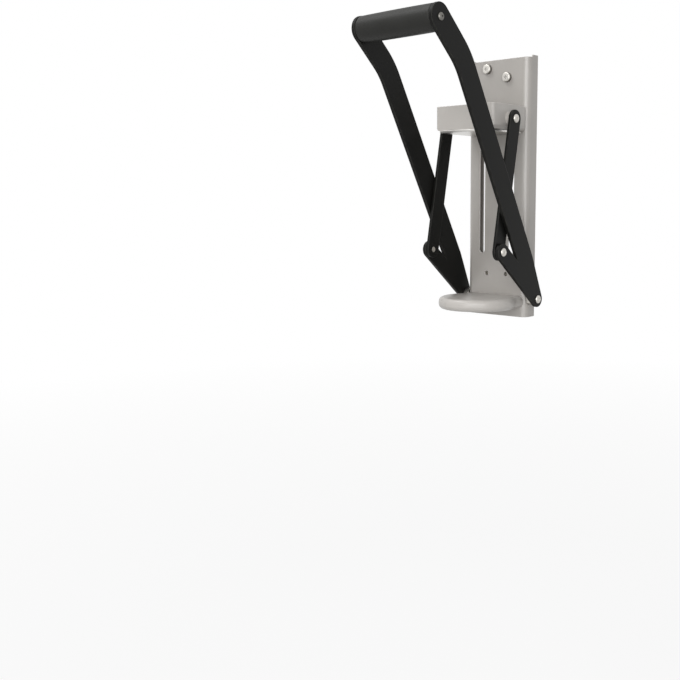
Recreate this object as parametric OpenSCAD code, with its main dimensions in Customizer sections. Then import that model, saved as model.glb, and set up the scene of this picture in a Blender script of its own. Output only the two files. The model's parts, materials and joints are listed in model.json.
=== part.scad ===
// Wall-mounted lever can crusher, drawn with its lever raised. Millimetres.
// The origin is on the wall, midway between the two lower wall screw holes.
// +X is to the right, +Y goes into the wall and +Z is up.

/* [Back channel] */
// Width of the folded steel channel on the wall
channel_w = 98; // [90:1:110]
// Depth of the channel, from the wall to its front face
channel_d = 22; // [20:0.5:28]
// Thickness of the channel's steel sheet
sheet_t = 2; // [1.5:0.25:2.5]
// Outer radius of the channel's two front bends
channel_bend_r = 9; // [5:0.5:11]
// Width of the inturned lips that lie on the wall
lip_w = 12; // [8:1:16]
// Channel below the top of the anvil
channel_foot = 29; // [24:1:35]
// How far the channel's flat sides stand above its front face and its bends
side_rise = 3; // [0:0.5:5]

/* [Wall screws] */
// Distance between the two lower wall screw holes
lower_screw_gap = 32; // [24:1:40]
// Distance between the two upper wall screws, measured across
upper_screw_gap = 32; // [24:1:40]
// Height of the left upper screw above the right one
upper_screw_step = 13; // [0:1:16]
// Right upper screw above the top of the raised ram
upper_screw_rise = 40; // [20:1:60]
// Channel above the higher upper screw
screw_to_top = 11; // [9:1:20]
// Diameter of a wall screw's hole
screw_hole_d = 5.5; // [4.5:0.25:6]
// Outer diameter of the sleeve that keeps a wall screw from crushing the channel
sleeve_d = 11; // [9:0.5:13]
// Diameter of a wall screw's domed head
screw_head_d = 12.4; // [9:0.2:14]
// Height of a wall screw's domed head
screw_head_h = 5; // [2:0.2:6]

/* [Anvil] */
// Diameter of the round space between the ram and the anvil
bay_d = 66; // [60:1:70]
// Gap between that space and the channel
bay_gap = 5; // [3:0.5:8]
// Top of the anvil below the lower wall screw holes
anvil_drop = 28; // [24:1:36]
// Thickness of the anvil shelf
anvil_t = 16; // [14:0.5:20]
// How far the anvil's round end reaches past the channel on each side
anvil_lip = 2.5; // [-3:0.5:2.5]
// How far the middle of the round end lies in front of the middle of that space
anvil_forward = 4; // [0:0.5:8]
// Radius of the anvil's rounded edge
anvil_edge_r = 6.5; // [2:0.5:6.75]
// How much narrower than the channel the anvil is where it meets it, on each side
anvil_neck_inset = 4; // [2:0.5:10]
// Distance between the outer two of the three rivets behind the anvil
anvil_rivet_gap = 60; // [40:1:72]

/* [Lever] */
// Distance from the wall to the lever's pivot
pivot_out = 12; // [11.5:0.5:13]
// Pivot below the top of the anvil
pivot_drop = 4; // [0:0.5:8]
// Distance from the pivot to the middle of the handle
lever_len = 392; // [360:1:420]
// Width of the lever's flat arms
arm_w = 32; // [26:1:34]
// Thickness of the arms
arm_t = 5; // [4:0.5:7]
// Radius of an arm's end at the pivot
arm_foot_r = 10.5; // [9:0.5:11]
// Distance from the pivot at which an arm has its full width
arm_full_at = 58; // [50:1:64]
// Distance from the pivot to the bend, along the line to the handle
bend_at = 335; // [310:1:345]
// How far the bend lies off the line from the pivot to the handle
bend_off = 16; // [8:1:18]
// Radius of the bend, at the middle of the arm
bend_r = 95; // [60:5:150]
// Distance from the pivot to the link's joint on the arm
crank_r = 104; // [100:1:108]
// Angle by which the link's joint lags behind the handle
crank_lag = 18.9; // [17:0.1:21]
// Radius of the lug round the link's joint
lug_r = 11; // [9:0.5:12]
// Angle from straight down to the raised lever
raised_angle = 148.4; // [146:0.2:152]
// Angle through which the lever swings
swing = 114.4; // [105:0.2:118]

/* [Links] */
// Distance between a link's two joints
link_len = 171; // [165:1:178]
// Width of the links
link_w = 22; // [18:1:24]
// Thickness of the links
link_t = 4; // [3:0.5:5]
// Space between the channel's side and a link
link_off = 3.5; // [3:0.25:6]
// Space between a link and an arm
arm_gap = 1; // [0.9:0.1:2]

/* [Handle] */
// Diameter of the grip
grip_d = 32; // [28:1:34]
// Diameter of the steel rod inside the grip
core_d = 18; // [14:1:22]
// Diameter of a handle screw
handle_screw_d = 6; // [5:0.5:8]
// Length of a handle screw inside the rod
handle_screw_len = 20; // [12:1:30]
// Diameter of a handle screw's head
handle_head_d = 10; // [9:0.5:12]
// Height of a handle screw's head
handle_head_h = 2.6; // [2:0.2:4]

/* [Ram] */
// Width of the ram's shell
ram_w = 94; // [84:1:96]
// How far the ram reaches past the round space at the front
ram_front = 2; // [0:0.5:6]
// Height of the ram, its press plate included
ram_h = 34; // [33:1:42]
// Bottom of the press plate below the link's joint
ram_below = 16; // [15:0.5:20]
// Thickness of the ram's shell
ram_wall = 2.5; // [2:0.25:3.5]
// Radius of the shell's upright corners
ram_corner_r = 5; // [4:0.5:10]
// Radius of the shell's two lower side edges
ram_foot_r = 7; // [4:0.5:7]
// Thickness of the press plate
plate_t = 3; // [2:0.5:5]
// Radius of the press plate's corners
plate_corner_r = 2; // [1:0.5:4]
// How far the press plate stands out in front of the shell
plate_lip = 0.8; // [0:0.1:1.2]
// Radius of the bosses that carry the links
boss_r = 9; // [7:0.5:10]
// Diameter of the rivets that hold the press plate
plate_rivet_d = 4; // [3:0.5:5]
// Diameter of their heads
plate_head_d = 8; // [6:0.5:10]
// Height of their heads
plate_head_h = 1.8; // [1:0.2:2.4]
// Distance of the press plate's rivets from the shell's sides
plate_rivet_inset = 16; // [12:1:24]

/* [Ram guide] */
// Distance between the two guide slots
slot_gap = 48; // [30:1:60]
// Diameter of the guide studs
stud_d = 8; // [6:0.5:9]
// Diameter of the studs' heads in the ram and behind the keeper
stud_head_d = 11; // [10:0.5:12]
// Height of the domed heads in the ram
stud_dome_h = 2; // [1:0.2:2.6]
// Height of the flat heads behind the keeper
stud_flat_h = 1.6; // [1:0.2:2.4]
// Upper guide studs above the link's joint
stud_above = 8; // [6:0.5:10]
// Lower guide studs below the link's joint
stud_below = 5; // [3:0.5:6]
// Thickness of the keeper plate behind the channel's front face
keeper_t = 2; // [1.5:0.25:3]
// Margin of the keeper plate round the studs
keeper_margin = 4; // [2:0.5:5]

/* [Rivets and fits] */
// Diameter of the pivot axle and of the link and crank rivets
rivet_d = 7; // [6:0.5:8]
// Diameter of their heads
rivet_head_d = 11; // [9:0.5:12]
// Height of their heads
rivet_head_h = 2.6; // [1.8:0.2:3.2]
// Outer diameter of the spacer bush at the pivot
bush_d = 17; // [12:0.5:18]
// Diameter of the anvil's rivets
anvil_rivet_d = 6; // [4:0.5:7]
// Diameter of their heads
anvil_head_d = 10; // [8:0.5:12]
// Height of their heads
anvil_head_h = 2.4; // [1.6:0.2:3]
// How deep the anvil's rivets go into the shelf
anvil_rivet_len = 12; // [8:1:18]
// Clearance between a pin and its hole, on the radius
pin_fit = 0.05; // [0.02:0.01:0.1]
// Clearance between faces that slide or turn on each other
face_fit = 0.3; // [0.2:0.05:0.4]

/* [Hidden] */
$fn = 64;
// A cutter runs this far past what it cuts
over = 1;
// A straight edge ends this far inside the circle that it meets, so that the two cross
seam = 0.02;

// Colours
paint_grey = "#b3afab";
paint_black = "#1d1c1b";
grip_black = "#35332f";
zinc = "#c9c7c2";
bright_steel = "#dcdbd8";

// Places along X, the same on both sides
side_x = channel_w / 2;
link_x = side_x + link_off;
arm_x = link_x + link_t + arm_gap;
arm_out = arm_x + arm_t;

// Places along Y and Z
front_y = -channel_d;
bay_y = front_y - bay_gap - bay_d / 2;
anvil_z = -anvil_drop;
pivot_y = -pivot_out;
pivot_z = anvil_z - pivot_drop;

// The linkage: [y, z] of the link's joint on the arm, and the height of its joint on the ram
function crank_at(a) = [pivot_y - crank_r * sin(a), pivot_z - crank_r * cos(a)];
function joint_z(crank) = crank[1] + sqrt(link_len ^ 2 - (crank[0] - bay_y) ^ 2);
crank_up = crank_at(raised_angle - crank_lag);
crank_low = crank_at(raised_angle - swing - crank_lag);
joint_up = joint_z(crank_up);
joint_low = joint_z(crank_low);
lever_tilt = 180 - raised_angle;
link_tilt = asin((bay_y - crank_up[0]) / link_len);

// The arm in its own plane: X runs to the handle, and Y away from the crank lug
crank_point = crank_r * [cos(crank_lag), -sin(crank_lag)];
bend_point = [bend_at, bend_off];
handle_point = [lever_len, 0];
lower_dir = atan2(bend_off, bend_at);
upper_dir = atan2(-bend_off, lever_len - bend_at);
bend_reach = bend_r * tan((lower_dir - upper_dir) / 2);
function along(p, a, d) = p + d * [cos(a), sin(a)];
bend_start = along(bend_point, lower_dir, -bend_reach);
bend_middle = along(bend_start, lower_dir - 90, bend_r);
arm_full = along([0, 0], lower_dir, arm_full_at);
// Straight steps along the bend
bend_steps = 12;

// The ram, with the lever raised
plate_z = joint_up - ram_below;
shell_z = plate_z + plate_t;
ram_top = plate_z + ram_h;
ram_back = front_y - face_fit;
ram_face = bay_y - bay_d / 2 - ram_front;
boss_x = link_x - face_fit;
keeper_y = front_y + sheet_t + face_fit;
slot_w = stud_d + 2 * face_fit;

// The channel's ends and its screws, as [x, z]
channel_low = anvil_z - channel_foot;
upper_z = ram_top + upper_screw_rise;
channel_top = upper_z + upper_screw_step + screw_to_top;
lower_screws = [[-lower_screw_gap / 2, 0], [lower_screw_gap / 2, 0]];
upper_screws = [[-upper_screw_gap / 2, upper_z + upper_screw_step], [upper_screw_gap / 2, upper_z]];

// ---- Shapes that several pieces share ----

// A rod along X
module rod_x(x0, x1, r) translate([x0, 0, 0]) rotate([0, 90, 0]) cylinder(h = x1 - x0, r = r);

// A rod along Y
module rod_y(y0, y1, r) translate([0, y0, 0]) rotate([-90, 0, 0]) cylinder(h = y1 - y0, r = r);

// A domed head on the XY plane, rising along Z
module dome(d, h) {
  ball_r = (d * d / 4 + h * h) / (2 * h);
  intersection() {
    translate([0, 0, h - ball_r]) sphere(r = ball_r);
    cylinder(h = h + over, r = d / 2);
  }
}

// A domed head that faces +X
module dome_x(x, d, h) translate([x, 0, 0]) rotate([0, 90, 0]) dome(d, h);

// Shows its children on the right, or mirrored on the left
module on_side(side) {
  if (side < 0) mirror([1, 0, 0]) children();
  else children();
}

// The area between two circles and their outer tangents
module tangent_plate(p1, r1, p2, r2) {
  way = p2 - p1;
  heading = atan2(way[1], way[0]);
  off = acos((r1 - r2) / norm(way));
  polygon([
    along(p1, heading - off, r1 - seam), along(p2, heading - off, r2 - seam),
    along(p2, heading + off, r2 - seam), along(p1, heading + off, r1 - seam)
  ]);
}

// A rectangle with rounded corners, centred on X, from y0 to y1
module rounded_plan(w, y0, y1, r) {
  translate([-w / 2 + r, y0]) square([w - 2 * r, y1 - y0]);
  translate([-w / 2, y0 + r]) square([w, y1 - y0 - 2 * r]);
  for (x = [-w / 2 + r, w / 2 - r], y = [y0 + r, y1 - r]) translate([x, y]) circle(r = r);
}

// Puts a drawing of the arm at the pivot, with its inner face at x
module lever_place(x, t) {
  translate([x + t, pivot_y, pivot_z]) rotate([lever_tilt, 0, 0]) rotate([0, -90, 0])
    linear_extrude(height = t) children();
}

// The rest place of the handle, the crank and the link's joint on the ram
module at_handle() {
  translate([0, pivot_y, pivot_z]) rotate([lever_tilt, 0, 0]) translate([0, 0, lever_len]) children();
}
module at_crank() translate([0, crank_up[0], crank_up[1]]) children();
module at_joint() translate([0, bay_y, joint_up]) children();
module at_pivot() translate([0, pivot_y, pivot_z]) children();

// ---- Frame ----

// The channel's outline: r is the bend, and inset moves it in by the sheet
module channel_outline(inset, r) {
  y0 = front_y + inset;
  w = channel_w - 2 * inset;
  translate([-w / 2, y0 + r]) square([w, -inset - y0 - r]);
  translate([-w / 2 + r, y0]) square([w - 2 * r, -inset - y0]);
  for (x = [-w / 2 + r, w / 2 - r]) translate([x, y0 + r]) circle(r = r);
}

module guide_slot(x) {
  z0 = joint_low - stud_below - face_fit;
  z1 = joint_up + stud_above + face_fit;
  translate([x, 0, 0]) {
    for (z = [z0, z1]) translate([0, 0, z]) rod_y(front_y - over, front_y + sheet_t + over, slot_w / 2);
    translate([-slot_w / 2, front_y - over, z0]) cube([slot_w, sheet_t + 2 * over, z1 - z0]);
  }
}

module back_channel() color(paint_grey) {
  back_w = channel_w - 2 * lip_w;
  difference() {
    translate([0, 0, channel_low]) linear_extrude(height = channel_top + side_rise - channel_low)
      difference() {
        channel_outline(0, channel_bend_r);
        channel_outline(sheet_t, channel_bend_r - sheet_t);
        translate([-back_w / 2, -sheet_t - over]) square([back_w, sheet_t + 2 * over]);
      }
    translate([-side_x - over, front_y - over, channel_top])
      cube([2 * (side_x + over), channel_bend_r + 2 * over, side_rise + over]);
    for (x = [-slot_gap / 2, slot_gap / 2]) guide_slot(x);
    for (p = concat(lower_screws, upper_screws)) translate([p[0], 0, p[1]])
      rod_y(front_y - over, front_y + sheet_t + over, screw_hole_d / 2);
    at_pivot() rod_x(-side_x - over, side_x + over, rivet_d / 2 + pin_fit);
    for (i = [-1, 0, 1]) anvil_rivet_place(i)
      rod_y(front_y - over, front_y + sheet_t + over, anvil_rivet_d / 2 + pin_fit);
  }
}

module anvil_rivet_place(i) translate([i * anvil_rivet_gap / 2, 0, anvil_z - anvil_t / 2]) children();

// The round end of the shelf, turned with rounded edges
module anvil_disc(r) {
  e = anvil_edge_r;
  rotate_extrude() {
    square([r - e, anvil_t]);
    translate([0, e]) square([r, anvil_t - 2 * e]);
    for (z = [e, anvil_t - e]) translate([r - e, z]) circle(r = e);
  }
}

module anvil_shelf() color(paint_grey) {
  neck_w = channel_w - 2 * anvil_neck_inset;
  disc_r = side_x + anvil_lip;
  disc_y = bay_y - anvil_forward;
  difference() {
    translate([0, 0, anvil_z - anvil_t]) difference() {
      union() {
        translate([0, disc_y, 0]) anvil_disc(disc_r);
        translate([-neck_w / 2, disc_y, 0]) cube([neck_w, front_y - disc_y, anvil_t]);
      }
      translate([-disc_r, front_y, -over]) cube([2 * disc_r, disc_r, anvil_t + 2 * over]);
    }
    for (i = [-1, 0, 1]) anvil_rivet_place(i)
      rod_y(front_y - anvil_rivet_len - face_fit, front_y + over, anvil_rivet_d / 2 + pin_fit);
  }
}

module anvil_rivets() color(zinc) {
  for (i = [-1, 0, 1]) anvil_rivet_place(i) {
    rod_y(front_y - anvil_rivet_len, front_y + sheet_t, anvil_rivet_d / 2);
    translate([0, front_y + sheet_t, 0]) rotate([-90, 0, 0]) dome(anvil_head_d, anvil_head_h);
  }
}

module wall_sleeves() color(zinc) {
  for (p = concat(lower_screws, upper_screws)) translate([p[0], 0, p[1]]) difference() {
    rod_y(front_y + sheet_t, 0, sleeve_d / 2);
    rod_y(front_y, over, screw_hole_d / 2);
  }
}

module wall_screws() color(bright_steel) {
  for (p = upper_screws) translate([p[0], front_y, p[1]]) {
    rotate([90, 0, 0]) dome(screw_head_d, screw_head_h);
    rod_y(0, channel_d, screw_hole_d / 2 - pin_fit);
  }
}

// The axle on which both arms turn, headed at each end
module pivot_axle() color(zinc) at_pivot() {
  rod_x(-arm_out - face_fit, arm_out + face_fit, rivet_d / 2);
  for (side = [1, -1]) on_side(side) dome_x(arm_out + face_fit, rivet_head_d, rivet_head_h);
}

module pivot_bush(side) color(zinc) on_side(side) at_pivot() difference() {
  rod_x(side_x, arm_x - face_fit, bush_d / 2);
  rod_x(side_x - over, arm_x + over, rivet_d / 2 + pin_fit);
}
module pivot_bush_right() pivot_bush(1);
module pivot_bush_left() pivot_bush(-1);

// ---- Lever ----

// Points along the bend, on a circle of radius r
function bend_arc(r, a0, a1) = [for (i = [0:bend_steps]) along(bend_middle, a0 + (a1 - a0) * i / bend_steps, r)];

// The arm from the tangents of its foot to the middle of its round end
module arm_bar() {
  h = arm_w / 2;
  taper = acos((arm_foot_r - h) / arm_full_at);
  polygon(concat(
    [
      along([0, 0], lower_dir - taper, arm_foot_r - seam), along(arm_full, lower_dir - taper, h),
      along(arm_full, lower_dir - 90, h)
    ],
    bend_arc(bend_r - h, lower_dir + 90, upper_dir + 90),
    [along(handle_point, upper_dir - 90, h - seam), along(handle_point, upper_dir + 90, h - seam)],
    bend_arc(bend_r + h, upper_dir + 90, lower_dir + 90),
    [
      along(arm_full, lower_dir + 90, h), along(arm_full, lower_dir + taper, h),
      along([0, 0], lower_dir + taper, arm_foot_r - seam)
    ]
  ));
}

module arm_outline() {
  arm_bar();
  circle(r = arm_foot_r);
  translate(handle_point) circle(r = arm_w / 2);
  tangent_plate([0, 0], arm_foot_r, crank_point, lug_r);
  translate(crank_point) circle(r = lug_r);
}

module lever_arm(side) color(paint_black) on_side(side) lever_place(arm_x, arm_t) difference() {
  arm_outline();
  circle(r = rivet_d / 2 + pin_fit);
  translate(crank_point) circle(r = rivet_d / 2 + pin_fit);
  translate(handle_point) circle(r = handle_screw_d / 2 + pin_fit);
}
module lever_arm_right() lever_arm(1);
module lever_arm_left() lever_arm(-1);

module handle_core() color(zinc) at_handle() difference() {
  rod_x(-arm_x, arm_x, core_d / 2);
  for (side = [1, -1]) on_side(side)
    rod_x(arm_x - handle_screw_len - face_fit, arm_x + over, handle_screw_d / 2 + pin_fit);
}

module grip_sleeve() color(grip_black) at_handle() difference() {
  rod_x(-arm_x, arm_x, grip_d / 2);
  rod_x(-arm_x - over, arm_x + over, core_d / 2 + pin_fit);
}

module handle_screw(side) color(bright_steel) on_side(side) at_handle() {
  rod_x(arm_x - handle_screw_len, arm_out, handle_screw_d / 2);
  dome_x(arm_out, handle_head_d, handle_head_h);
}
module handle_screw_right() handle_screw(1);
module handle_screw_left() handle_screw(-1);

// The outer half of the rivet that joins arm and link
module crank_rivet(side) color(zinc) on_side(side) at_crank() {
  rod_x(arm_x - arm_gap + face_fit, arm_out, rivet_d / 2);
  dome_x(arm_out, rivet_head_d, rivet_head_h);
}
module crank_rivet_right() crank_rivet(1);
module crank_rivet_left() crank_rivet(-1);

// ---- Links ----

module link(side) color(paint_black) on_side(side) difference() {
  translate([link_x + link_t, bay_y, joint_up]) rotate([-link_tilt, 0, 0]) rotate([0, -90, 0])
    linear_extrude(height = link_t) difference() {
      union() {
        translate([-link_len, -link_w / 2]) square([link_len, link_w]);
        for (x = [0, -link_len]) translate([x, 0]) circle(r = link_w / 2);
      }
      for (x = [0, -link_len]) translate([x, 0]) circle(r = rivet_d / 2 + pin_fit);
    }
}
module link_right() link(1);
module link_left() link(-1);

// The inner half of that rivet, set flush in the link
module link_plug(side) color(zinc) on_side(side) at_crank() rod_x(link_x, link_x + link_t, rivet_d / 2);
module link_plug_right() link_plug(1);
module link_plug_left() link_plug(-1);

// ---- Ram ----

module plate_rivet_places() {
  x = ram_w / 2 - plate_rivet_inset;
  for (px = [-x, x], py = [ram_face + plate_rivet_inset, ram_back - plate_rivet_inset]) translate([px, py, 0])
    children();
}

module stud_places() {
  for (x = [-slot_gap / 2, slot_gap / 2], z = [joint_up - stud_below, joint_up + stud_above])
    translate([x, 0, z]) children();
}

// The ram's outer form, or its inner one when inset by the wall, up to z1
module ram_form(inset, z1) {
  w = ram_w - 2 * inset;
  z0 = shell_z + inset;
  r = ram_foot_r - inset;
  intersection() {
    translate([0, 0, z0]) linear_extrude(height = z1 - z0)
      rounded_plan(w, ram_face + inset, ram_back - inset, ram_corner_r - inset);
    translate([0, ram_back, 0]) rotate([90, 0, 0]) linear_extrude(height = ram_back - ram_face) {
      translate([-w / 2, z0 + r]) square([w, z1 - z0 - r]);
      translate([-w / 2 + r, z0]) square([w - 2 * r, r]);
      for (x = [-w / 2 + r, w / 2 - r]) translate([x, z0 + r]) circle(r = r);
    }
  }
}

module ram_shell() color(paint_grey) difference() {
  union() {
    ram_form(0, ram_top);
    for (side = [1, -1]) on_side(side) at_joint() rod_x(ram_w / 2 - ram_wall, boss_x, boss_r);
  }
  ram_form(ram_wall, ram_top + over);
  for (side = [1, -1]) on_side(side) at_joint()
    rod_x(ram_w / 2 - ram_wall - over, boss_x + over, rivet_d / 2 + pin_fit);
  stud_places() rod_y(ram_back - ram_wall - over, ram_back + over, stud_d / 2 + pin_fit);
  plate_rivet_places() translate([0, 0, shell_z - over])
    cylinder(h = ram_wall + 2 * over, r = plate_rivet_d / 2 + pin_fit);
}

module press_plate() color(bright_steel) difference() {
  translate([0, 0, plate_z]) linear_extrude(height = plate_t)
    rounded_plan(ram_w - 2 * ram_foot_r, ram_face - plate_lip, ram_back, plate_corner_r);
  plate_rivet_places() translate([0, 0, plate_z - over])
    cylinder(h = plate_t + 2 * over, r = plate_rivet_d / 2 + pin_fit);
}

module plate_rivets() color(zinc) plate_rivet_places() {
  translate([0, 0, plate_z]) cylinder(h = plate_t + ram_wall, r = plate_rivet_d / 2);
  translate([0, 0, shell_z + ram_wall]) dome(plate_head_d, plate_head_h);
}

module guide_studs() color(bright_steel) stud_places() {
  rod_y(ram_back - ram_wall, keeper_y + keeper_t, stud_d / 2);
  rod_y(keeper_y + keeper_t, keeper_y + keeper_t + stud_flat_h, stud_head_d / 2);
  translate([0, ram_back - ram_wall, 0]) rotate([90, 0, 0]) dome(stud_head_d, stud_dome_h);
}

module guide_keeper() color(zinc) {
  w = slot_gap + stud_d + 2 * keeper_margin;
  h = stud_above + stud_below + stud_d + 2 * keeper_margin;
  difference() {
    translate([-w / 2, keeper_y, joint_up - stud_below - stud_d / 2 - keeper_margin]) cube([w, keeper_t, h]);
    stud_places() rod_y(keeper_y - over, keeper_y + keeper_t + over, stud_d / 2 + pin_fit);
  }
}

module link_rivet(side) color(zinc) on_side(side) at_joint() {
  rod_x(ram_w / 2 - ram_wall, link_x + link_t + face_fit, rivet_d / 2);
  dome_x(link_x + link_t + face_fit, rivet_head_d, rivet_head_h);
  rod_x(ram_w / 2 - ram_wall - rivet_head_h, ram_w / 2 - ram_wall, rivet_head_d / 2);
}
module link_rivet_right() link_rivet(1);
module link_rivet_left() link_rivet(-1);

back_channel();
anvil_shelf();
anvil_rivets();
wall_sleeves();
wall_screws();
pivot_axle();
pivot_bush_right();
pivot_bush_left();
lever_arm_right();
lever_arm_left();
handle_core();
grip_sleeve();
handle_screw_right();
handle_screw_left();
crank_rivet_right();
crank_rivet_left();
link_right();
link_left();
link_plug_right();
link_plug_left();
ram_shell();
press_plate();
plate_rivets();
guide_studs();
guide_keeper();
link_rivet_right();
link_rivet_left();
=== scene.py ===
# %% [markdown]
# # A wall-mounted lever crusher in Blender
#
# A long forked lever turns on an axle at the foot of a folded steel channel.
# Two links join lugs on its arms to a ram that slides in front of the channel,
# so pulling the handle down pulls the ram down onto the round shelf.
# The solid parts come from a CAD model. These cells give them soft edges,
# real surfaces, screws, rivets and a grip, and light them in a plain studio.

# %% Load the frame
import json
import math

import bmesh
import bpy
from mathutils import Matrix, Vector


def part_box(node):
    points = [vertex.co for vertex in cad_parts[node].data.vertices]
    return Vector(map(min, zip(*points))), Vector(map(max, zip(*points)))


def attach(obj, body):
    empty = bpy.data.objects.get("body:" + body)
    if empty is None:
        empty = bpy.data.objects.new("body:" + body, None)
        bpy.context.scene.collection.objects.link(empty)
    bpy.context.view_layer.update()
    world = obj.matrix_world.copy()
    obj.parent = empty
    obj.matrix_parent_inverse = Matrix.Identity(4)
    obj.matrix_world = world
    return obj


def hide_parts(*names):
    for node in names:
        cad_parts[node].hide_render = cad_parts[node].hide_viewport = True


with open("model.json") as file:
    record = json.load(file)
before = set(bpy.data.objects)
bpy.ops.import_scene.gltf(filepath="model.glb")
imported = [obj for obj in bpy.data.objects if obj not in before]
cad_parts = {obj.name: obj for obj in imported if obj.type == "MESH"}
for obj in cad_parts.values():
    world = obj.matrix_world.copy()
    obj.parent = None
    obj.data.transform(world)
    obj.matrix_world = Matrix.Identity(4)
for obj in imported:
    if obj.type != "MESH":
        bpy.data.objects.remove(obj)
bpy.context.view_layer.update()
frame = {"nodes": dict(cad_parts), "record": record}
scene = bpy.context.scene
nodes = frame["nodes"]
record = frame["record"]
body_of = {name: body for body, names in record["behaviour"]["bodies"].items() for name in names}
MM = 0.001

# %% [markdown]
# ## The camera
#
# The picture is taken from the front and right, a little above the shelf, and
# the crusher stands high and to the right in it. A lens shift can place it
# there, or the camera can turn away from it. The shift also moves every other
# view of the model, so most of the offset comes from turning the camera, and
# only a small shift is left, which keeps the crusher away from the frame's edge.

# %% Place the camera
IMAGE_PX = 680
SENSOR_MM = 36
FOCAL_PX = 888.9
SHIFT_PX = (-90, -15)
CAMERA_AT = (0.7145, -1.0112, 0.0968)
LOOK_DOWN = 7.863
LOOK_LEFT = 40.078
NEAREST, FARTHEST = 0.05, 200

camera_data = bpy.data.cameras.new("camera")
camera_data.sensor_width = SENSOR_MM
camera_data.lens = FOCAL_PX / IMAGE_PX * SENSOR_MM
camera_data.shift_x, camera_data.shift_y = [shift / IMAGE_PX for shift in SHIFT_PX]
camera_data.clip_start, camera_data.clip_end = NEAREST, FARTHEST
camera = bpy.data.objects.new("camera", camera_data)
camera.location = CAMERA_AT
camera.rotation_euler = (math.radians(90 - LOOK_DOWN), 0, math.radians(LOOK_LEFT))
scene.collection.objects.link(camera)
scene.camera = camera
print("lens", round(camera_data.lens, 1), "mm")

# %% [markdown]
# ## Colours and nodes
#
# Colours are written as the screen shows them, in hex. Blender mixes light in
# linear values, so one function turns a hex code into those. Another adds a
# node, sets its values and wires it up, in a material and in a Geometry Nodes
# tree alike. A socket that joins several wires takes them as a list.


# %% Two helpers for node trees
def colour(code):
    parts = [int(code[i : i + 2], 16) / 255 for i in (1, 3, 5)]
    return (*[c / 12.92 if c <= 0.04045 else ((c + 0.055) / 1.055) ** 2.4 for c in parts], 1)


def add(tree, kind, links=None, **settings):
    node = tree.nodes.new(kind)
    for name, value in settings.items():
        setattr(node, name, value)
    for socket, value in (links or {}).items():
        wires = value if isinstance(value, list) else [value]
        for wire in wires:
            if isinstance(wire, bpy.types.NodeSocket):
                tree.links.new(wire, node.inputs[socket])
            else:
                node.inputs[socket].default_value = wire
    return node


print("mid grey is", round(colour("#808080")[0], 3), "in linear light")

# %% [markdown]
# ## The studio
#
# The product stands alone on white. The floor and the world show as white to
# the camera and to shiny surfaces, but light the object only gently, because
# light from all round would flatten it. The floor lies far below the lever's
# lowest reach. It keeps a soft shadow near the object and turns pure white
# further out, so that no horizon shows.


# %% A floor that looks white but lights gently
WHITE = (1, 1, 1, 1)
FLOOR_PAINT = "#bdbdbd"
FLOOR_GLOW = 0.9
SHADOW_REACH = (0.5, 2.5)


def seen_directly(tree):
    """1 where the camera or a reflection looks, and 0 for the light that falls on things."""
    path = add(tree, "ShaderNodeLightPath").outputs
    return add(tree, "ShaderNodeMath", {0: path["Is Camera Ray"], 1: path["Is Glossy Ray"]},
               operation="MAXIMUM").outputs[0]


def white_floor():
    material = bpy.data.materials.new("floor_white")
    material.use_nodes = True
    tree = material.node_tree
    tree.nodes.clear()
    place = add(tree, "ShaderNodeTexCoord").outputs["Object"]
    far = add(tree, "ShaderNodeVectorMath", {0: place}, operation="LENGTH").outputs["Value"]
    near_edge, far_edge = SHADOW_REACH
    whiteness = add(tree, "ShaderNodeMapRange", {
        "Value": far, "From Min": near_edge, "From Max": far_edge,
        "To Min": FLOOR_GLOW, "To Max": 1.0})
    share = add(tree, "ShaderNodeMath", {0: seen_directly(tree), 1: whiteness.outputs[0]},
                operation="MULTIPLY")
    matt = add(tree, "ShaderNodeBsdfDiffuse", {"Color": colour(FLOOR_PAINT)})
    glow = add(tree, "ShaderNodeEmission", {"Color": WHITE, "Strength": 1.0})
    mix = add(tree, "ShaderNodeMixShader", {
        0: share.outputs[0], 1: matt.outputs[0], 2: glow.outputs[0]})
    add(tree, "ShaderNodeOutputMaterial", {"Surface": mix.outputs[0]})
    return material


print("the floor's shadow fades from", SHADOW_REACH[0], "to", SHADOW_REACH[1], "m out")

# %% Floor and world
FLOOR_Z = -0.55
FLOOR_SIZE = 120
WORLD_LIGHT = 0.40

bpy.ops.mesh.primitive_plane_add(size=FLOOR_SIZE, location=(0, 0, FLOOR_Z))
floor = bpy.context.object
floor.name = "floor"
floor.data.materials.append(white_floor())

scene.world = bpy.data.worlds.new("studio")
scene.world.use_nodes = True
sky = scene.world.node_tree
sky.nodes.clear()
level = add(sky, "ShaderNodeMapRange", {
    "Value": seen_directly(sky), "To Min": WORLD_LIGHT, "To Max": 1.0})
white = add(sky, "ShaderNodeBackground", {"Color": WHITE, "Strength": level.outputs[0]})
add(sky, "ShaderNodeOutputWorld", {"Surface": white.outputs[0]})
scene.view_settings.view_transform = "Standard"
print("floor", FLOOR_SIZE, "m wide at z =", FLOOR_Z)

# %% [markdown]
# Three soft lamps model the object. The key is large and stands behind the
# camera, so shadows hide behind what throws them, and the channel's rounded bend,
# which faces the camera, mirrors it as a pale band from top to foot. A weak tall
# lamp on the right lifts the channel's flat side, which stays a little darker
# than its front. The third hangs high on the left and draws a sheen along the
# upper side of the grip.


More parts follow.
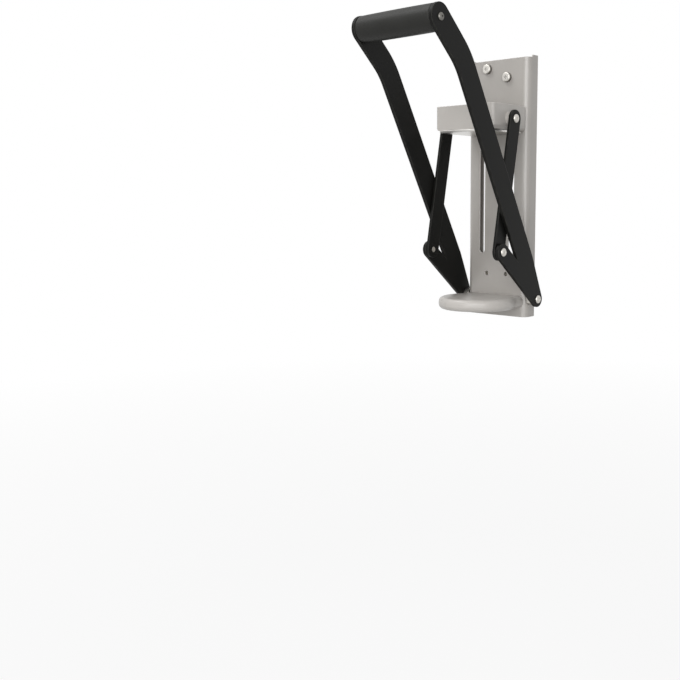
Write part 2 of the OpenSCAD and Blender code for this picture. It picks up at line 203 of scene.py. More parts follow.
# %% Lamps
LAMP_AIM = Vector((0, -0.1, 0.1))
LAMPS = [
    # name, place, width, height, watts
    ("key", (0.75, -2.0, 0.5), 1.3, 1.6, 25),
    ("side", (1.4, -1.15, 0.25), 0.35, 1.3, 6),
    ("top", (-0.7, -0.8, 1.6), 0.9, 0.9, 13),
]
for name, place, width, height, watts in LAMPS:
    data = bpy.data.lights.new(name, "AREA")
    data.shape = "RECTANGLE"
    data.size, data.size_y = width, height
    data.energy = watts
    holder = bpy.data.objects.new(name, data)
    holder.location = place
    holder.rotation_euler = (LAMP_AIM - Vector(place)).to_track_quat("-Z", "Y").to_euler()
    scene.collection.objects.link(holder)

# %% [markdown]
# ## Powder coat
#
# The channel, ram and shelf are steel sprayed with dry grey paint powder and
# baked, and the arms and links have the same coat in black. Such a coat is
# tough and satin, with a very fine orange peel and a slightly uneven gloss.
# The real peel is about 1 mm across, too fine for this picture, so it is
# drawn at 2 mm. A slow second noise shifts the colour by a percent or two.
# The powder draws back from sharp edges as it melts, and hands and links rub
# them, so the edges come out paler in patches. A face attribute marks them.
# Blender's noise hardly leaves the span from 0.3 to 0.7, so that span is
# stretched over each pair of values. A Mix node has sockets for three kinds of
# data with the same names, so its colour sockets are found by their numbers.


# %% Noise, two tones, uneven gloss and bumps
NOISE_SPAN = {"From Min": 0.3, "From Max": 0.7}
MIX_FIRST, MIX_SECOND, MIX_RESULT = 6, 7, 2


def new_material(name):
    material = bpy.data.materials.new(name)
    material.use_nodes = True
    tree = material.node_tree
    tree.nodes.clear()
    place = add(tree, "ShaderNodeTexCoord").outputs["Object"]
    shader = add(tree, "ShaderNodeBsdfPrincipled")
    add(tree, "ShaderNodeOutputMaterial", {"Surface": shader.outputs[0]})
    return material, tree, place, shader


def grain(tree, place, size_mm, detail=2.0, stretch=(1, 1, 1)):
    """Noise whose blotches are about size_mm across."""
    spread = add(tree, "ShaderNodeMapping", {"Vector": place, "Scale": stretch}).outputs[0]
    return add(tree, "ShaderNodeTexNoise", {
        "Vector": spread, "Scale": 1 / (size_mm * MM), "Detail": detail}).outputs[0]


def two_tone(tree, noise, low_colour, high_colour):
    """One colour where the noise is low, and another where it is high."""
    share = add(tree, "ShaderNodeMapRange", {"Value": noise, **NOISE_SPAN}).outputs[0]
    return add(tree, "ShaderNodeMix", {
        0: share, MIX_FIRST: colour(low_colour), MIX_SECOND: colour(high_colour)},
        data_type="RGBA").outputs[MIX_RESULT]


def uneven_gloss(tree, shader, noise, roughness, swing):
    """Roughness that the noise moves down and up from its middle value."""
    down, up = swing
    uneven = add(tree, "ShaderNodeMapRange", {
        "Value": noise, **NOISE_SPAN, "To Min": roughness - down, "To Max": roughness + up})
    tree.links.new(uneven.outputs[0], shader.inputs["Roughness"])


def bumps(tree, shader, height, depth_mm, strength):
    bump = add(tree, "ShaderNodeBump", {
        "Height": height, "Distance": depth_mm * MM, "Strength": strength})
    tree.links.new(bump.outputs[0], shader.inputs["Normal"])


print("most of the noise lies between", *NOISE_SPAN.values())

# %% A coat for painted steel
EDGE_MARK = "edge"
PEEL_MM = 2.0
PEEL_DEPTH_MM = 0.05
PEEL_STRENGTH = 0.35
CLOUD_MM = 45
COAT_SWING = (0.012, 0.015)
RUB_MM = 7


def powder_coat(name, light, dark, rubbed, roughness, shine, rub=0.5):
    """rub is how far the rubbed colour covers the paint where an edge is rubbed most."""
    material, tree, place, shader = new_material(name)
    clouds = grain(tree, place, CLOUD_MM)
    edges = add(tree, "ShaderNodeAttribute", attribute_name=EDGE_MARK).outputs["Fac"]
    patches = add(tree, "ShaderNodeMapRange", {
        "Value": grain(tree, place, RUB_MM), **NOISE_SPAN, "To Min": 0, "To Max": rub}).outputs[0]
    worn = add(tree, "ShaderNodeMath", {0: edges, 1: patches}, operation="MULTIPLY").outputs[0]
    paint = two_tone(tree, clouds, dark, light)
    coat = add(tree, "ShaderNodeMix", {0: worn, MIX_FIRST: paint, MIX_SECOND: colour(rubbed)},
               data_type="RGBA").outputs[MIX_RESULT]
    tree.links.new(coat, shader.inputs["Base Color"])
    uneven_gloss(tree, shader, clouds, roughness, COAT_SWING)
    shader.inputs["Specular IOR Level"].default_value = shine
    bumps(tree, shader, grain(tree, place, PEEL_MM, detail=1.0), PEEL_DEPTH_MM, PEEL_STRENGTH)
    return material


grey_coat = powder_coat(
    "powder_coat_warm_grey", "#a9a5a0", "#a39f9a", "#c6c2bc", roughness=0.30, shine=0.85)
pale_coat = powder_coat(
    "powder_coat_pale_grey", "#bcb8b3", "#b5b1ac", "#d4d0ca", roughness=0.35, shine=0.6)
black_coat = powder_coat(
    "powder_coat_satin_black", "#131311", "#0e0e0d", "#43433e", roughness=0.46, shine=0.13,
    rub=0.45)
print("coats:", grey_coat.name, pale_coat.name, black_coat.name)

# %% [markdown]
# ## Moulded plastic
#
# The grip is a dark grey polypropylene tube with a fine spark-eroded texture,
# which scatters light and keeps it matt. The real grit is about 0.2 mm across,
# too fine for this picture, so it is drawn at 1.1 mm.


# %% Plastic for the grip
GRIT_MM = 1.1
GRIT_DEPTH_MM = 0.08
GRIT_STRENGTH = 0.5
TINT_MM = 30
PLASTIC_SWING = (0.03, 0.04)


def moulded(name, light, dark, roughness, shine):
    material, tree, place, shader = new_material(name)
    tints = grain(tree, place, TINT_MM)
    tree.links.new(two_tone(tree, tints, dark, light), shader.inputs["Base Color"])
    uneven_gloss(tree, shader, tints, roughness, PLASTIC_SWING)
    shader.inputs["Specular IOR Level"].default_value = shine
    bumps(tree, shader, grain(tree, place, GRIT_MM, detail=3.0), GRIT_DEPTH_MM, GRIT_STRENGTH)
    return material


grip_plastic = moulded(
    "polypropylene_spark_textured", "#252523", "#20201e", roughness=0.47, shine=0.2)
print("plastic:", grip_plastic.name)

# %% [markdown]
# ## Plated and brushed steel
#
# Rivets are zinc plated, which leaves a soft grey shine with faint clouds. The
# handle's screws have the same plating, but hands have dulled it. Wall screws
# and studs are nickel plated, which is paler and warmer. The plate under the ram
# is bare stainless steel, brushed across, so its noise is stretched sixty times
# along X into fine lines. Real ones are about 0.1 mm apart, too fine for this
# picture, so they are drawn at 0.8 mm. Where a head meets what it holds, shade
# is painted into the metal's colour as a dark ring. Ambient Occlusion finds such
# corners: it measures how shut in a point is. On the tall heads of the wall
# screws it looks further out, so their whole side wall is painted dark as shade.


# %% Steel finishes
# Painted shade: the dark colour that corners round heads are given.
PAINTED_SHADE = "#4b4843"
SHADE_REACH_MM = 3
SHUT_IN = (0.45, 0.8)
TALL_HEAD_REACH_MM = 7
TALL_HEAD_SHUT_IN = (0.6, 0.95)
CORNER_SAMPLES = 8
STEEL_SWING = (0.06, 0.08)
LINE_DEPTH_MM = 0.01
LINE_STRENGTH = 0.3
ALONG_X = (1 / 60, 1, 1)


def steel(name, light, dark, roughness, grain_mm, stretch=(1, 1, 1),
          reach_mm=SHADE_REACH_MM, shut_in=SHUT_IN):
    """shut_in holds how open a corner is that is all painted shade, and one that has none."""
    material, tree, place, shader = new_material(name)
    shader.inputs["Metallic"].default_value = 1.0
    lines = grain(tree, place, grain_mm, detail=3.0, stretch=stretch)
    # Painted shade: Ambient Occlusion darkens the metal towards a dark colour where a head meets
    # what it holds.
    openness = add(tree, "ShaderNodeAmbientOcclusion", {"Distance": reach_mm * MM},
                   samples=CORNER_SAMPLES).outputs["AO"]
    unshaded = add(tree, "ShaderNodeMapRange", {
        "Value": openness, "From Min": shut_in[0], "From Max": shut_in[1]}).outputs[0]
    metal = two_tone(tree, lines, dark, light)
    skin = add(tree, "ShaderNodeMix", {0: unshaded, MIX_FIRST: colour(PAINTED_SHADE), MIX_SECOND: metal},
               data_type="RGBA").outputs[MIX_RESULT]
    tree.links.new(skin, shader.inputs["Base Color"])
    uneven_gloss(tree, shader, lines, roughness, STEEL_SWING)
    bumps(tree, shader, lines, LINE_DEPTH_MM, LINE_STRENGTH)
    return material


zinc = steel("zinc_plated_steel", "#cfccc6", "#bdbab3", 0.36, 5)
nickel = steel("nickel_plated_steel", "#d9d6d0", "#cbc8c2", 0.40, 6,
               reach_mm=TALL_HEAD_REACH_MM, shut_in=TALL_HEAD_SHUT_IN)
dull_zinc = steel("zinc_plated_steel_dulled", "#7f7d78", "#6e6c68", 0.46, 5)
brushed = steel("stainless_steel_brushed", "#dddbd7", "#c9c7c2", 0.30, 0.8, stretch=ALONG_X)
print("steels:", zinc.name, dull_zinc.name, nickel.name, brushed.name)

# %% [markdown]
# ## Soft edges
#
# No real sheet, bar or casting has a perfectly sharp edge: sawing, tumbling and
# paint round it, and that thin round is what catches the light. The CAD solids
# are sharp, so each is copied, its loose triangles are merged, and its flat
# faces are joined up. A bevel then rounds every edge sharper than 30 degrees.
# It keeps an even width instead of sliding along the edges that happen to cross
# a flat face, and it cuts corners off plainly, so that no small face folds over.
# It gives its new faces the second material slot, which tells them apart: they
# get the edge mark that the powder coat reads, and the slot goes again.

# %% Helpers for finished pieces
SHARP_FROM = math.radians(30)
MERGE_WITHIN = 0.002 * MM


def merged_copy(mesh):
    """A mesh to work on, in which points that lie on each other have become one."""
    work = bmesh.new()
    work.from_mesh(mesh)
    bmesh.ops.remove_doubles(work, verts=work.verts, dist=MERGE_WITHIN)
    return work


def written(work, mesh):
    work.to_mesh(mesh)
    work.free()
    return mesh


def new_piece(name, mesh, *materials):
    piece = bpy.data.objects.new(name, mesh)
    for material in materials:
        mesh.materials.append(material)
    scene.collection.objects.link(piece)
    return piece


def applied(piece):
    """Turns a piece and its modifiers into one plain mesh."""
    graph = bpy.context.evaluated_depsgraph_get()
    mesh = bpy.data.meshes.new_from_object(piece.evaluated_get(graph))
    piece.modifiers.clear()
    piece.data = mesh


def smooth(piece):
    piece.data.shade_smooth()
    piece.data.set_sharp_from_angle(angle=SHARP_FROM)


def stands_for(piece, node_names):
    """The piece takes the place and the body of these nodes, which are hidden."""
    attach(piece, body_of[node_names[0]])
    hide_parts(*node_names)


print("edges look sharp from", round(math.degrees(SHARP_FROM)), "degrees")

# %% Round the edges of a CAD piece
FLAT_WITHIN = math.radians(0.4)
ROUND_SEGMENTS = 3


def mark_edges(mesh):
    marks = [float(face.material_index) for face in mesh.polygons]
    mesh.attributes.new(EDGE_MARK, "FLOAT", "FACE").data.foreach_set("value", marks)
    mesh.polygons.foreach_set("material_index", [0] * len(marks))
    mesh.materials.pop()


def eased(node_name, material, radius_mm):
    name = node_name + "_finished"
    work = merged_copy(nodes[node_name].data)
    bmesh.ops.dissolve_limit(work, angle_limit=FLAT_WITHIN, verts=work.verts, edges=work.edges)
    piece = new_piece(name, written(work, bpy.data.meshes.new(name)), material, material)
    bevel = piece.modifiers.new("soft edges", "BEVEL")
    bevel.width = radius_mm * MM
    bevel.segments = ROUND_SEGMENTS
    bevel.limit_method = "ANGLE"
    bevel.angle_limit = SHARP_FROM
    bevel.use_clamp_overlap = False
    bevel.loop_slide = False
    bevel.vmesh_method = "CUTOFF"
    bevel.material = 1
    flats = piece.modifiers.new("flat faces stay flat", "WEIGHTED_NORMAL")
    flats.keep_sharp = True
    smooth(piece)
    applied(piece)
    mark_edges(piece.data)
    stands_for(piece, [node_name])
    return piece


print("a soft edge is", ROUND_SEGMENTS, "faces wide")

# %% Ease the channel, the arms, the links and the ram
# node: (material, width of its soft edges in mm)
SOFT_EDGES = {
    "back_channel": (grey_coat, 0.5),
    "lever_arm_right": (black_coat, 0.8),
    "lever_arm_left": (black_coat, 0.8),
    "link_right": (black_coat, 0.7),
    "link_left": (black_coat, 0.7),
    "ram_shell": (pale_coat, 0.5),
    "press_plate": (brushed, 0.5),
    "guide_keeper": (zinc, 0.3),
    "pivot_bush_right": (zinc, 0.4),
    "pivot_bush_left": (zinc, 0.4),
    "wall_sleeves": (zinc, 0.3),
}
for node_name, (material, radius_mm) in SOFT_EDGES.items():
    piece = eased(node_name, material, radius_mm)
    print(piece.name, len(piece.data.polygons), "faces")

# %% [markdown]
# ## The shelf
#
# The shelf is one thick casting: a round table with a neck that is riveted to
# the channel. All its upper and lower edges have the same big round, and the
# neck flows into the table. A bevel can't follow that corner, but a loft can.
# The outline is written once for any inset: moving an outline in by d makes
# its outer arcs smaller by d and its inner arcs larger by d, while the centres
# stay. Stacking the outline at the insets of a quarter circle gives the round.

# %% The outline at any inset
ARC_STEPS = 60
BLEND_STEPS = 10
BLEND_R = 12 * MM
NECK_INSET = 4 * MM
SHELF_EDGE_R = 6.5 * MM

shelf_low, shelf_high = [Vector(corner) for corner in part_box("anvil_shelf")]
table_r = (shelf_high.x - shelf_low.x) / 2
table_y = shelf_low.y + table_r
neck_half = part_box("back_channel")[1][0] - NECK_INSET
print("table radius", round(table_r / MM, 1), "mm, neck", round(2 * neck_half / MM, 1), "mm wide")


def arc(centre, radius, start, end, steps):
    angles = [start + (end - start) * i / steps for i in range(steps + 1)]
    return [(centre[0] + radius * math.cos(a), centre[1] + radius * math.sin(a)) for a in angles]


def shelf_outline(inset):
    """Anticlockwise from above, starting at the back of the neck on the left."""
    blend_x = neck_half + BLEND_R
    blend_y = table_y + math.sqrt((table_r + BLEND_R) ** 2 - blend_x**2)
    lean = math.atan2(blend_y - table_y, blend_x)
    left_blend = arc((-blend_x, blend_y), BLEND_R + inset, 0, -lean, BLEND_STEPS)
    table = arc((0, table_y), table_r - inset, math.pi - lean, 2 * math.pi + lean, ARC_STEPS)
    right_blend = arc((blend_x, blend_y), BLEND_R + inset, math.pi + lean, math.pi, BLEND_STEPS)
    back = [(neck_half - inset, shelf_high.y), (inset - neck_half, shelf_high.y)]
    return left_blend + table[1:-1] + right_blend + back


# %% Stack the outlines
ROUND_STEPS = 8


def lofted(name, rings):
    """A closed skin over rings of points that all run the same way."""
    work = bmesh.new()
    loops = [[work.verts.new(point) for point in ring] for ring in rings]
    count = len(rings[0])
    for lower, upper in zip(loops, loops[1:]):
        for i in range(count):
            j = (i + 1) % count
            work.faces.new((lower[i], lower[j], upper[j], upper[i]))
    work.faces.new(list(reversed(loops[0])))
    work.faces.new(loops[-1])
    bmesh.ops.recalc_face_normals(work, faces=work.faces)
    return written(work, bpy.data.meshes.new(name))


quarter = [math.pi / 2 * i / ROUND_STEPS for i in range(ROUND_STEPS + 1)]
under = [(SHELF_EDGE_R * (1 - math.sin(a)), shelf_low.z + SHELF_EDGE_R * (1 - math.cos(a)))
         for a in quarter]
over = [(inset, shelf_low.z + shelf_high.z - z) for inset, z in reversed(under)]
rings = [[(x, y, z) for x, y in shelf_outline(inset)] for inset, z in under + over]
shelf = new_piece("anvil_shelf_finished", lofted("anvil_shelf_finished", rings), pale_coat)
smooth(shelf)
stands_for(shelf, ["anvil_shelf"])
print(shelf.name, len(shelf.data.polygons), "faces")

# %% [markdown]
# ## The grip
#
# The grip is a thick plastic tube pushed over the steel rod between the arms.
# Such a tube is moulded with rounded mouths and is a hair thicker halfway, so
# that it leaves its mould. A turned profile gives this: one closed loop of
# points, out along the mouth, over the back and home through the bore.

# %% The grip's profile
CROWN = 0.35 * MM
MOUTH_R = 1.6 * MM
MOUTH_STEPS = 5
BACK_STEPS = 12
MOUTH_GAP = 0.15 * MM

grip_low, grip_high = [Vector(corner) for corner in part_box("grip_sleeve")]
core_low, core_high = [Vector(corner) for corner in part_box("handle_core")]
grip_axis = (grip_low + grip_high) / 2
grip_r = (grip_high.z - grip_low.z) / 2
bore_r = (core_high.z - core_low.z) / 2
grip_half = (grip_high.x - grip_low.x) / 2 - MOUTH_GAP


def grip_profile():
    """(along, out) points, from the left mouth over the back to the right mouth."""
    rim = grip_r - CROWN
    turn = [math.pi / 2 * i / MOUTH_STEPS for i in range(MOUTH_STEPS + 1)]
    mouth = [(grip_half - MOUTH_R * (1 - math.cos(a)), rim - MOUTH_R * (1 - math.sin(a)))
             for a in turn]
    reach = grip_half - MOUTH_R
    spots = [-reach + 2 * reach * i / BACK_STEPS for i in range(1, BACK_STEPS)]
    back = [(x, rim + CROWN * (1 - (x / reach) ** 2)) for x in spots]
    left = [(-x, r) for x, r in mouth]
    return [(-grip_half, bore_r)] + left + back + list(reversed(mouth)) + [(grip_half, bore_r)]


print("the profile has", len(grip_profile()), "points")

# %% Turn the grip
GRIP_SIDES = 96


def turned(name, profile, axis, sides):
    """A ring-shaped skin round an axis along X, from a closed loop of (along, out) points."""
    work = bmesh.new()
    angles = [2 * math.pi * k / sides for k in range(sides)]
    loops = [[work.verts.new((axis.x + x, axis.y + r * math.cos(a), axis.z + r * math.sin(a)))
              for a in angles] for x, r in profile]
    for first, second in zip(loops, loops[1:] + loops[:1]):
        for k in range(sides):
            n = (k + 1) % sides
            work.faces.new((first[k], first[n], second[n], second[k]))
    bmesh.ops.recalc_face_normals(work, faces=work.faces)
    return written(work, bpy.data.meshes.new(name))


grip_tube = turned("grip_sleeve_finished", grip_profile(), grip_axis, GRIP_SIDES)
grip = new_piece("grip_sleeve_finished", grip_tube, grip_plastic)
smooth(grip)
stands_for(grip, ["grip_sleeve"])
print("grip", round(2 * grip_r / MM, 1), "mm thick and", round(2 * grip_half / MM, 1), "mm long")

# %% [markdown]
# ## Screws and rivets
#
# Every screw, rivet and stud here is the same kind of thing: a domed head on
# a round shank, sometimes with a flat head on the far end, and with a mark in
# the dome. Rivets keep a dimple from the punch, and screws have a driver
# recess. A rivet's dome is round, while a wall screw has a pan head, flat with
# steep sides, so one input of the tree squares the dome's shoulders.
# They repeat at many places and point many ways, which is work for
# Geometry Nodes: one tree makes the pin at the origin and puts it on points,
# and each point carries the way that its head looks. The places and lengths
# are read from the CAD solids, so a pin always sits in its hole. The head, the
# shank and the mark are joined and cut by Mesh Boolean nodes. Those lose faces
# where edges of two solids meet exactly, so shanks and dimples stand a little
# turned from the head.


# %% Rods
ROD_SIDES = 32
ROD_TURN = math.radians(1.3)


def moved(tree, geometry, z, turn):
    """Lifts a shape by z and turns it round Z."""
    lift = add(tree, "ShaderNodeCombineXYZ", {"Z": z}).outputs[0]
    return add(tree, "GeometryNodeTransform", {
        "Geometry": geometry, "Translation": lift, "Rotation": (0, 0, turn)}).outputs[0]


def rod(tree, radius, low, high):
    """A closed cylinder from low to high on Z."""
    depth = add(tree, "ShaderNodeMath", {0: high, 1: low}, operation="SUBTRACT").outputs[0]
    middle = add(tree, "ShaderNodeMath", {0: depth, 1: 0.5, 2: low},
                 operation="MULTIPLY_ADD").outputs[0]
    bar = add(tree, "GeometryNodeMeshCylinder", {
        "Vertices": ROD_SIDES, "Radius": radius, "Depth": depth}).outputs[0]
    return moved(tree, bar, middle, ROD_TURN)


print("a shank has", ROD_SIDES, "sides")

# %% Domes and driver recesses
DOME_SIDES, DOME_RINGS = 48, 24
STAR_WAIST = 0.42


def dome(tree, radius, height, power):
    """Half a flattened ball. A power of 1 keeps it round, and a lower one squares its shoulders."""
    ball = add(tree, "GeometryNodeMeshUVSphere", {
        "Segments": DOME_SIDES, "Rings": DOME_RINGS, "Radius": 1.0}).outputs[0]
    spot = add(tree, "GeometryNodeInputPosition").outputs[0]
    x, y, z = add(tree, "ShaderNodeSeparateXYZ", {0: spot}).outputs
    flat = add(tree, "ShaderNodeCombineXYZ", {"X": x, "Y": y}).outputs[0]
    out = add(tree, "ShaderNodeVectorMath", {0: flat}, operation="LENGTH").outputs["Value"]
    squared = add(tree, "ShaderNodeMath", {0: out, 1: power}, operation="POWER").outputs[0]
    widen = add(tree, "ShaderNodeMath", {0: squared, 1: out}, operation="DIVIDE").outputs[0]
    wide = add(tree, "ShaderNodeMath", {0: widen, 1: radius}, operation="MULTIPLY").outputs[0]
    new_x = add(tree, "ShaderNodeMath", {0: x, 1: wide}, operation="MULTIPLY").outputs[0]
    new_y = add(tree, "ShaderNodeMath", {0: y, 1: wide}, operation="MULTIPLY").outputs[0]
    above = add(tree, "ShaderNodeMath", {0: z, 1: 0.0}, operation="MAXIMUM").outputs[0]
    up = add(tree, "ShaderNodeMath", {0: above, 1: power}, operation="POWER").outputs[0]
    new_z = add(tree, "ShaderNodeMath", {0: up, 1: height}, operation="MULTIPLY").outputs[0]
    place = add(tree, "ShaderNodeCombineXYZ", {"X": new_x, "Y": new_y, "Z": new_z}).outputs[0]
    return add(tree, "GeometryNodeSetPosition", {"Geometry": ball, "Position": place}).outputs[0]


def driver_recess(tree, radius, points, low, high):
    """A star-shaped prism: 4 points make a cross and 6 a hexalobe."""
    waist = add(tree, "ShaderNodeMath", {0: radius, 1: STAR_WAIST}, operation="MULTIPLY").outputs[0]
    star = add(tree, "GeometryNodeCurveStar", {
        "Points": points, "Outer Radius": radius, "Inner Radius": waist}).outputs[0]
    start = add(tree, "ShaderNodeCombineXYZ", {"Z": low}).outputs[0]
    end = add(tree, "ShaderNodeCombineXYZ", {"Z": high}).outputs[0]
    path = add(tree, "GeometryNodeCurvePrimitiveLine", {"Start": start, "End": end}).outputs[0]
    return add(tree, "GeometryNodeCurveToMesh", {
        "Curve": path, "Profile Curve": star, "Fill Caps": True}).outputs[0]


print("a head has", DOME_SIDES, "sides")

# %% The body of a pin and the mark in its head
CLEAR_OF_HEAD = 1 * MM
DIMPLE_SIDES, DIMPLE_RINGS = 32, 16
DIMPLE_TURN = math.radians(2.9)


def pin_body(tree, given):
    """The head on its shank, and the tail if there is one."""
    top, tail_height = given["Head Height"], given["Tail Height"]
    head = dome(tree, given["Head Radius"], top, given["Shoulder Power"])
    end = add(tree, "ShaderNodeMath", {0: 0.0, 1: given["Shank Length"]},
              operation="SUBTRACT").outputs[0]
    tail_end = add(tree, "ShaderNodeMath", {0: end, 1: tail_height},
                   operation="SUBTRACT").outputs[0]
    in_tail = add(tree, "ShaderNodeMath", {0: tail_height, 1: -0.5, 2: end},
                  operation="MULTIPLY_ADD").outputs[0]
    in_head = add(tree, "ShaderNodeMath", {0: top, 1: 0.5}, operation="MULTIPLY").outputs[0]
    stop = add(tree, "GeometryNodeSwitch", {"Switch": given["Tail"], "False": end, "True": in_tail},
               input_type="FLOAT").outputs[0]
    shank = rod(tree, given["Shank Radius"], stop, in_head)
    flat = rod(tree, given["Tail Radius"], tail_end, end)
    tail = add(tree, "GeometryNodeSwitch", {"Switch": given["Tail"], "True": flat},
               input_type="GEOMETRY").outputs[0]
    return add(tree, "GeometryNodeMeshBoolean", {"Mesh 2": [head, shank, tail]},
               operation="UNION", solver="EXACT").outputs[0]


def pin_mark(tree, given):
    """What is cut out of the head: a driver recess or the dimple of a punch."""
    radius = given["Recess Radius"]
    floor_z = add(tree, "ShaderNodeMath", {0: given["Head Height"], 1: given["Recess Depth"]},
                  operation="SUBTRACT").outputs[0]
    clear_z = add(tree, "ShaderNodeMath", {0: given["Head Height"], 1: CLEAR_OF_HEAD},
                  operation="ADD").outputs[0]
    ball_z = add(tree, "ShaderNodeMath", {0: floor_z, 1: radius}, operation="ADD").outputs[0]
    star = driver_recess(tree, radius, given["Recess Points"], floor_z, clear_z)
    ball = add(tree, "GeometryNodeMeshUVSphere", {
        "Segments": DIMPLE_SIDES, "Rings": DIMPLE_RINGS, "Radius": radius}).outputs[0]
    dimple = moved(tree, ball, ball_z, DIMPLE_TURN)
    return add(tree, "GeometryNodeSwitch", {
        "Switch": given["Driver"], "False": dimple, "True": star}, input_type="GEOMETRY").outputs[0]


print("a dimple has", DIMPLE_SIDES, "sides")

# %% A tree for headed pins
PIN_INPUTS = {
    "Geometry": "Geometry",
    "Head Radius": "Float",
    "Head Height": "Float",
    "Shank Radius": "Float",
    "Shank Length": "Float",
    "Tail Radius": "Float",
    "Tail Height": "Float",
    "Recess Radius": "Float",
    "Recess Depth": "Float",
    "Shoulder Power": "Float",
    "Tail": "Bool",
    "Driver": "Bool",
    "Recess Points": "Int",
    "Material": "Material",
}


def new_tree(name, inputs):
    tree = bpy.data.node_groups.new(name, "GeometryNodeTree")
    for label, kind in inputs.items():
        tree.interface.new_socket(label, in_out="INPUT", socket_type="NodeSocket" + kind)
    tree.interface.new_socket("Geometry", in_out="OUTPUT", socket_type="NodeSocketGeometry")
    return tree, tree.nodes.new("NodeGroupInput").outputs


def headed_pin_tree():
    tree, given = new_tree("headed pin", PIN_INPUTS)
    pin = add(tree, "GeometryNodeMeshBoolean", {
        "Mesh 1": pin_body(tree, given), "Mesh 2": pin_mark(tree, given)},
        operation="DIFFERENCE", solver="EXACT").outputs[0]
    way = add(tree, "GeometryNodeInputNamedAttribute", {"Name": "way"},
              data_type="FLOAT_VECTOR").outputs[0]
    turn = add(tree, "FunctionNodeAlignRotationToVector", {"Vector": way}, axis="Z").outputs[0]
    placed = add(tree, "GeometryNodeInstanceOnPoints", {
        "Points": given["Geometry"], "Instance": pin, "Rotation": turn}).outputs[0]
    real = add(tree, "GeometryNodeRealizeInstances", {"Geometry": placed}).outputs[0]
    coated = add(tree, "GeometryNodeSetMaterial", {
        "Geometry": real, "Material": given["Material"]}).outputs[0]
    add(tree, "NodeGroupOutput", {"Geometry": coated})
    return tree


PIN_TREE = headed_pin_tree()
print("pin tree:", len(PIN_TREE.nodes), "nodes")

# %% [markdown]
# A CAD node may hold several loose solids, such as the four studs. Each pin's
# place comes from the box round one of them: its axis runs through the box's
# middle, its head starts one head height below the box's end, and its shank
# fills what is left. The axle has a head at each end, so it is made as two pins
# that meet in the middle.


# %% Read the places of the pins
def solids_in(node_name):
    """The lowest and highest corners of each loose solid in a node."""
    work = merged_copy(nodes[node_name].data)
    seen, boxes = set(), []
    for start in work.verts:
        if start in seen:
            continue
        found, front = {start}, [start]
        while front:
            vert = front.pop()
            near = {edge.other_vert(vert) for edge in vert.link_edges} - found
            found |= near
            front += near
        seen |= found
        boxes.append([Vector([pick(v.co[k] for v in found) for k in range(3)])
                      for pick in (min, max)])
    work.free()
    return boxes


def seat(box, way, head_height):
    """Where a pin's head meets its shank, and the whole length of the box along the pin."""
    low, high = box
    middle = (low + high) / 2
    reach = abs((high - low).dot(way)) / 2
    return middle + way * (reach - head_height), 2 * reach


print("wall screws:", len(solids_in("wall_screws")), "and studs:", len(solids_in("guide_studs")))


# %% Put pins on their places
def socket_id(tree, label):
    return next(item.identifier for item in tree.interface.items_tree
                if item.name == label and item.in_out == "INPUT")


def pins(name, ways, material, head, shank_r, recess, tail=None, driver_points=0,
         halves=False, shoulder=1.0):
    """Equal pins in one piece.

    ways holds pairs of a node and the way that its heads look. head, recess and
    tail are (radius, height or depth) in mm. halves gives each pin half a solid,
    and shoulder is the power that shapes the dome.
    """
    spots, arrows = [], []
    for node_name, way in ways:
        for box in solids_in(node_name):
            spot, full = seat(box, Vector(way), head[1] * MM)
            spots.append(spot)
            arrows += way
    length = (full / 2 if halves else full) - (head[1] + (tail[1] if tail else 0)) * MM
    mesh = bpy.data.meshes.new(name)
    mesh.from_pydata(spots, [], [])
    mesh.attributes.new("way", "FLOAT_VECTOR", "POINT").data.foreach_set("vector", arrows)
    piece = new_piece(name, mesh)
    modifier = piece.modifiers.new("pins", "NODES")
    modifier.node_group = PIN_TREE
    tail_r, tail_height = tail or (1, 1)
    settings = {
        "Head Radius": head[0] * MM,
        "Head Height": head[1] * MM,
        "Shank Radius": shank_r * MM,
        "Shank Length": length,
        "Tail Radius": tail_r * MM,
        "Tail Height": tail_height * MM,
        "Recess Radius": recess[0] * MM,
        "Recess Depth": recess[1] * MM,
        "Shoulder Power": shoulder,
        "Tail": tail is not None,
        "Driver": driver_points > 0,
        "Recess Points": max(driver_points, 3),
        "Material": material,
    }
    for label, value in settings.items():
        modifier[socket_id(PIN_TREE, label)] = value
    applied(piece)
    written(merged_copy(piece.data), piece.data)
    smooth(piece)
    stands_for(piece, list(dict.fromkeys(node_name for node_name, way in ways)))
    print(name, len(spots), "pins,", round(length / MM, 1), "mm shanks,",
          len(piece.data.polygons), "faces")


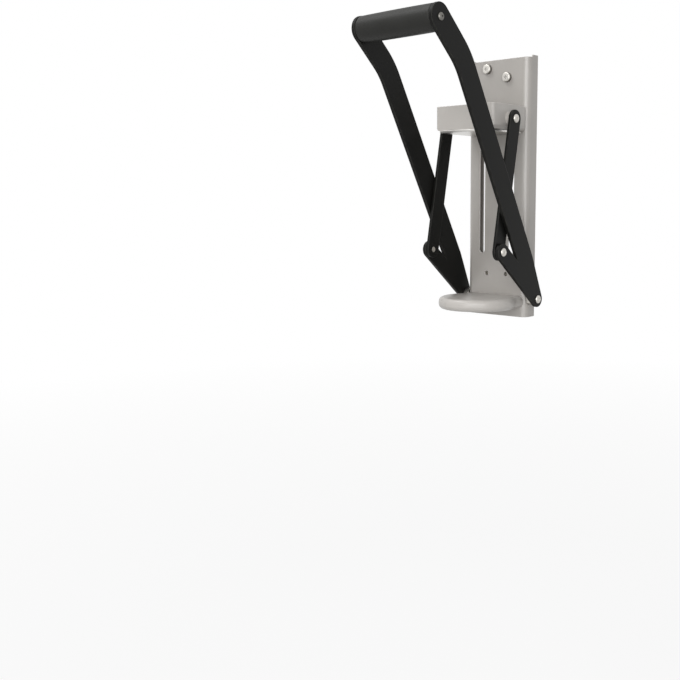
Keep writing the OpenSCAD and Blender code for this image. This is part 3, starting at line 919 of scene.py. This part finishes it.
# %% Screws
RIGHT, LEFT, FRONT, BACK, UP = (1, 0, 0), (-1, 0, 0), (0, -1, 0), (0, 1, 0), (0, 0, 1)
CROSS = 4
HEXALOBE = 6
PAN_HEAD = 0.22

print("cross and hexalobe recesses have", CROSS, "and", HEXALOBE, "points")
pins("wall_screws_headed", [("wall_screws", FRONT)], nickel,
     head=(6.2, 5.0), shank_r=2.7, recess=(2.6, 0.35), driver_points=CROSS, shoulder=PAN_HEAD)
pins("handle_screws_headed", [("handle_screw_right", RIGHT), ("handle_screw_left", LEFT)],
     dull_zinc, head=(4.7, 2.6), shank_r=3.0, recess=(1.9, 0.9), driver_points=HEXALOBE)

# %% Rivets and studs
RIVET = {"head": (5.5, 2.6), "shank_r": 3.5, "recess": (2.3, 1.1)}

print("a rivet's head is", 2 * RIVET["head"][0], "mm across")
pins("pivot_axle_headed", [("pivot_axle", RIGHT), ("pivot_axle", LEFT)], zinc,
     halves=True, **RIVET)
pins("crank_rivets_headed", [("crank_rivet_right", RIGHT), ("crank_rivet_left", LEFT)], zinc,
     **RIVET)
pins("link_rivets_headed", [("link_rivet_right", RIGHT), ("link_rivet_left", LEFT)], zinc,
     tail=RIVET["head"], **RIVET)
pins("guide_studs_headed", [("guide_studs", FRONT)], nickel,
     head=(5.5, 2.0), shank_r=4.0, recess=(2.2, 0.4), tail=(5.5, 1.6))
pins("plate_rivets_headed", [("plate_rivets", UP)], zinc,
     head=(4.0, 1.8), shank_r=2.0, recess=(1.8, 0.35))
pins("anvil_rivets_headed", [("anvil_rivets", BACK)], zinc,
     head=(5.0, 2.4), shank_r=3.0, recess=(2.4, 0.5))

# %% [markdown]
# ## The hidden rod and the link plugs
#
# The rod inside the grip and the plugs in the links are plain round bars whose
# CAD shape is right, so they keep it and only get their metal.

# %% Plain nodes keep their CAD mesh
PLAIN_BARS = ["handle_core", "link_plug_right", "link_plug_left"]
for node_name in PLAIN_BARS:
    nodes[node_name].data.materials.clear()
    nodes[node_name].data.materials.append(zinc)
print("plain bars in zinc plated steel:", PLAIN_BARS)
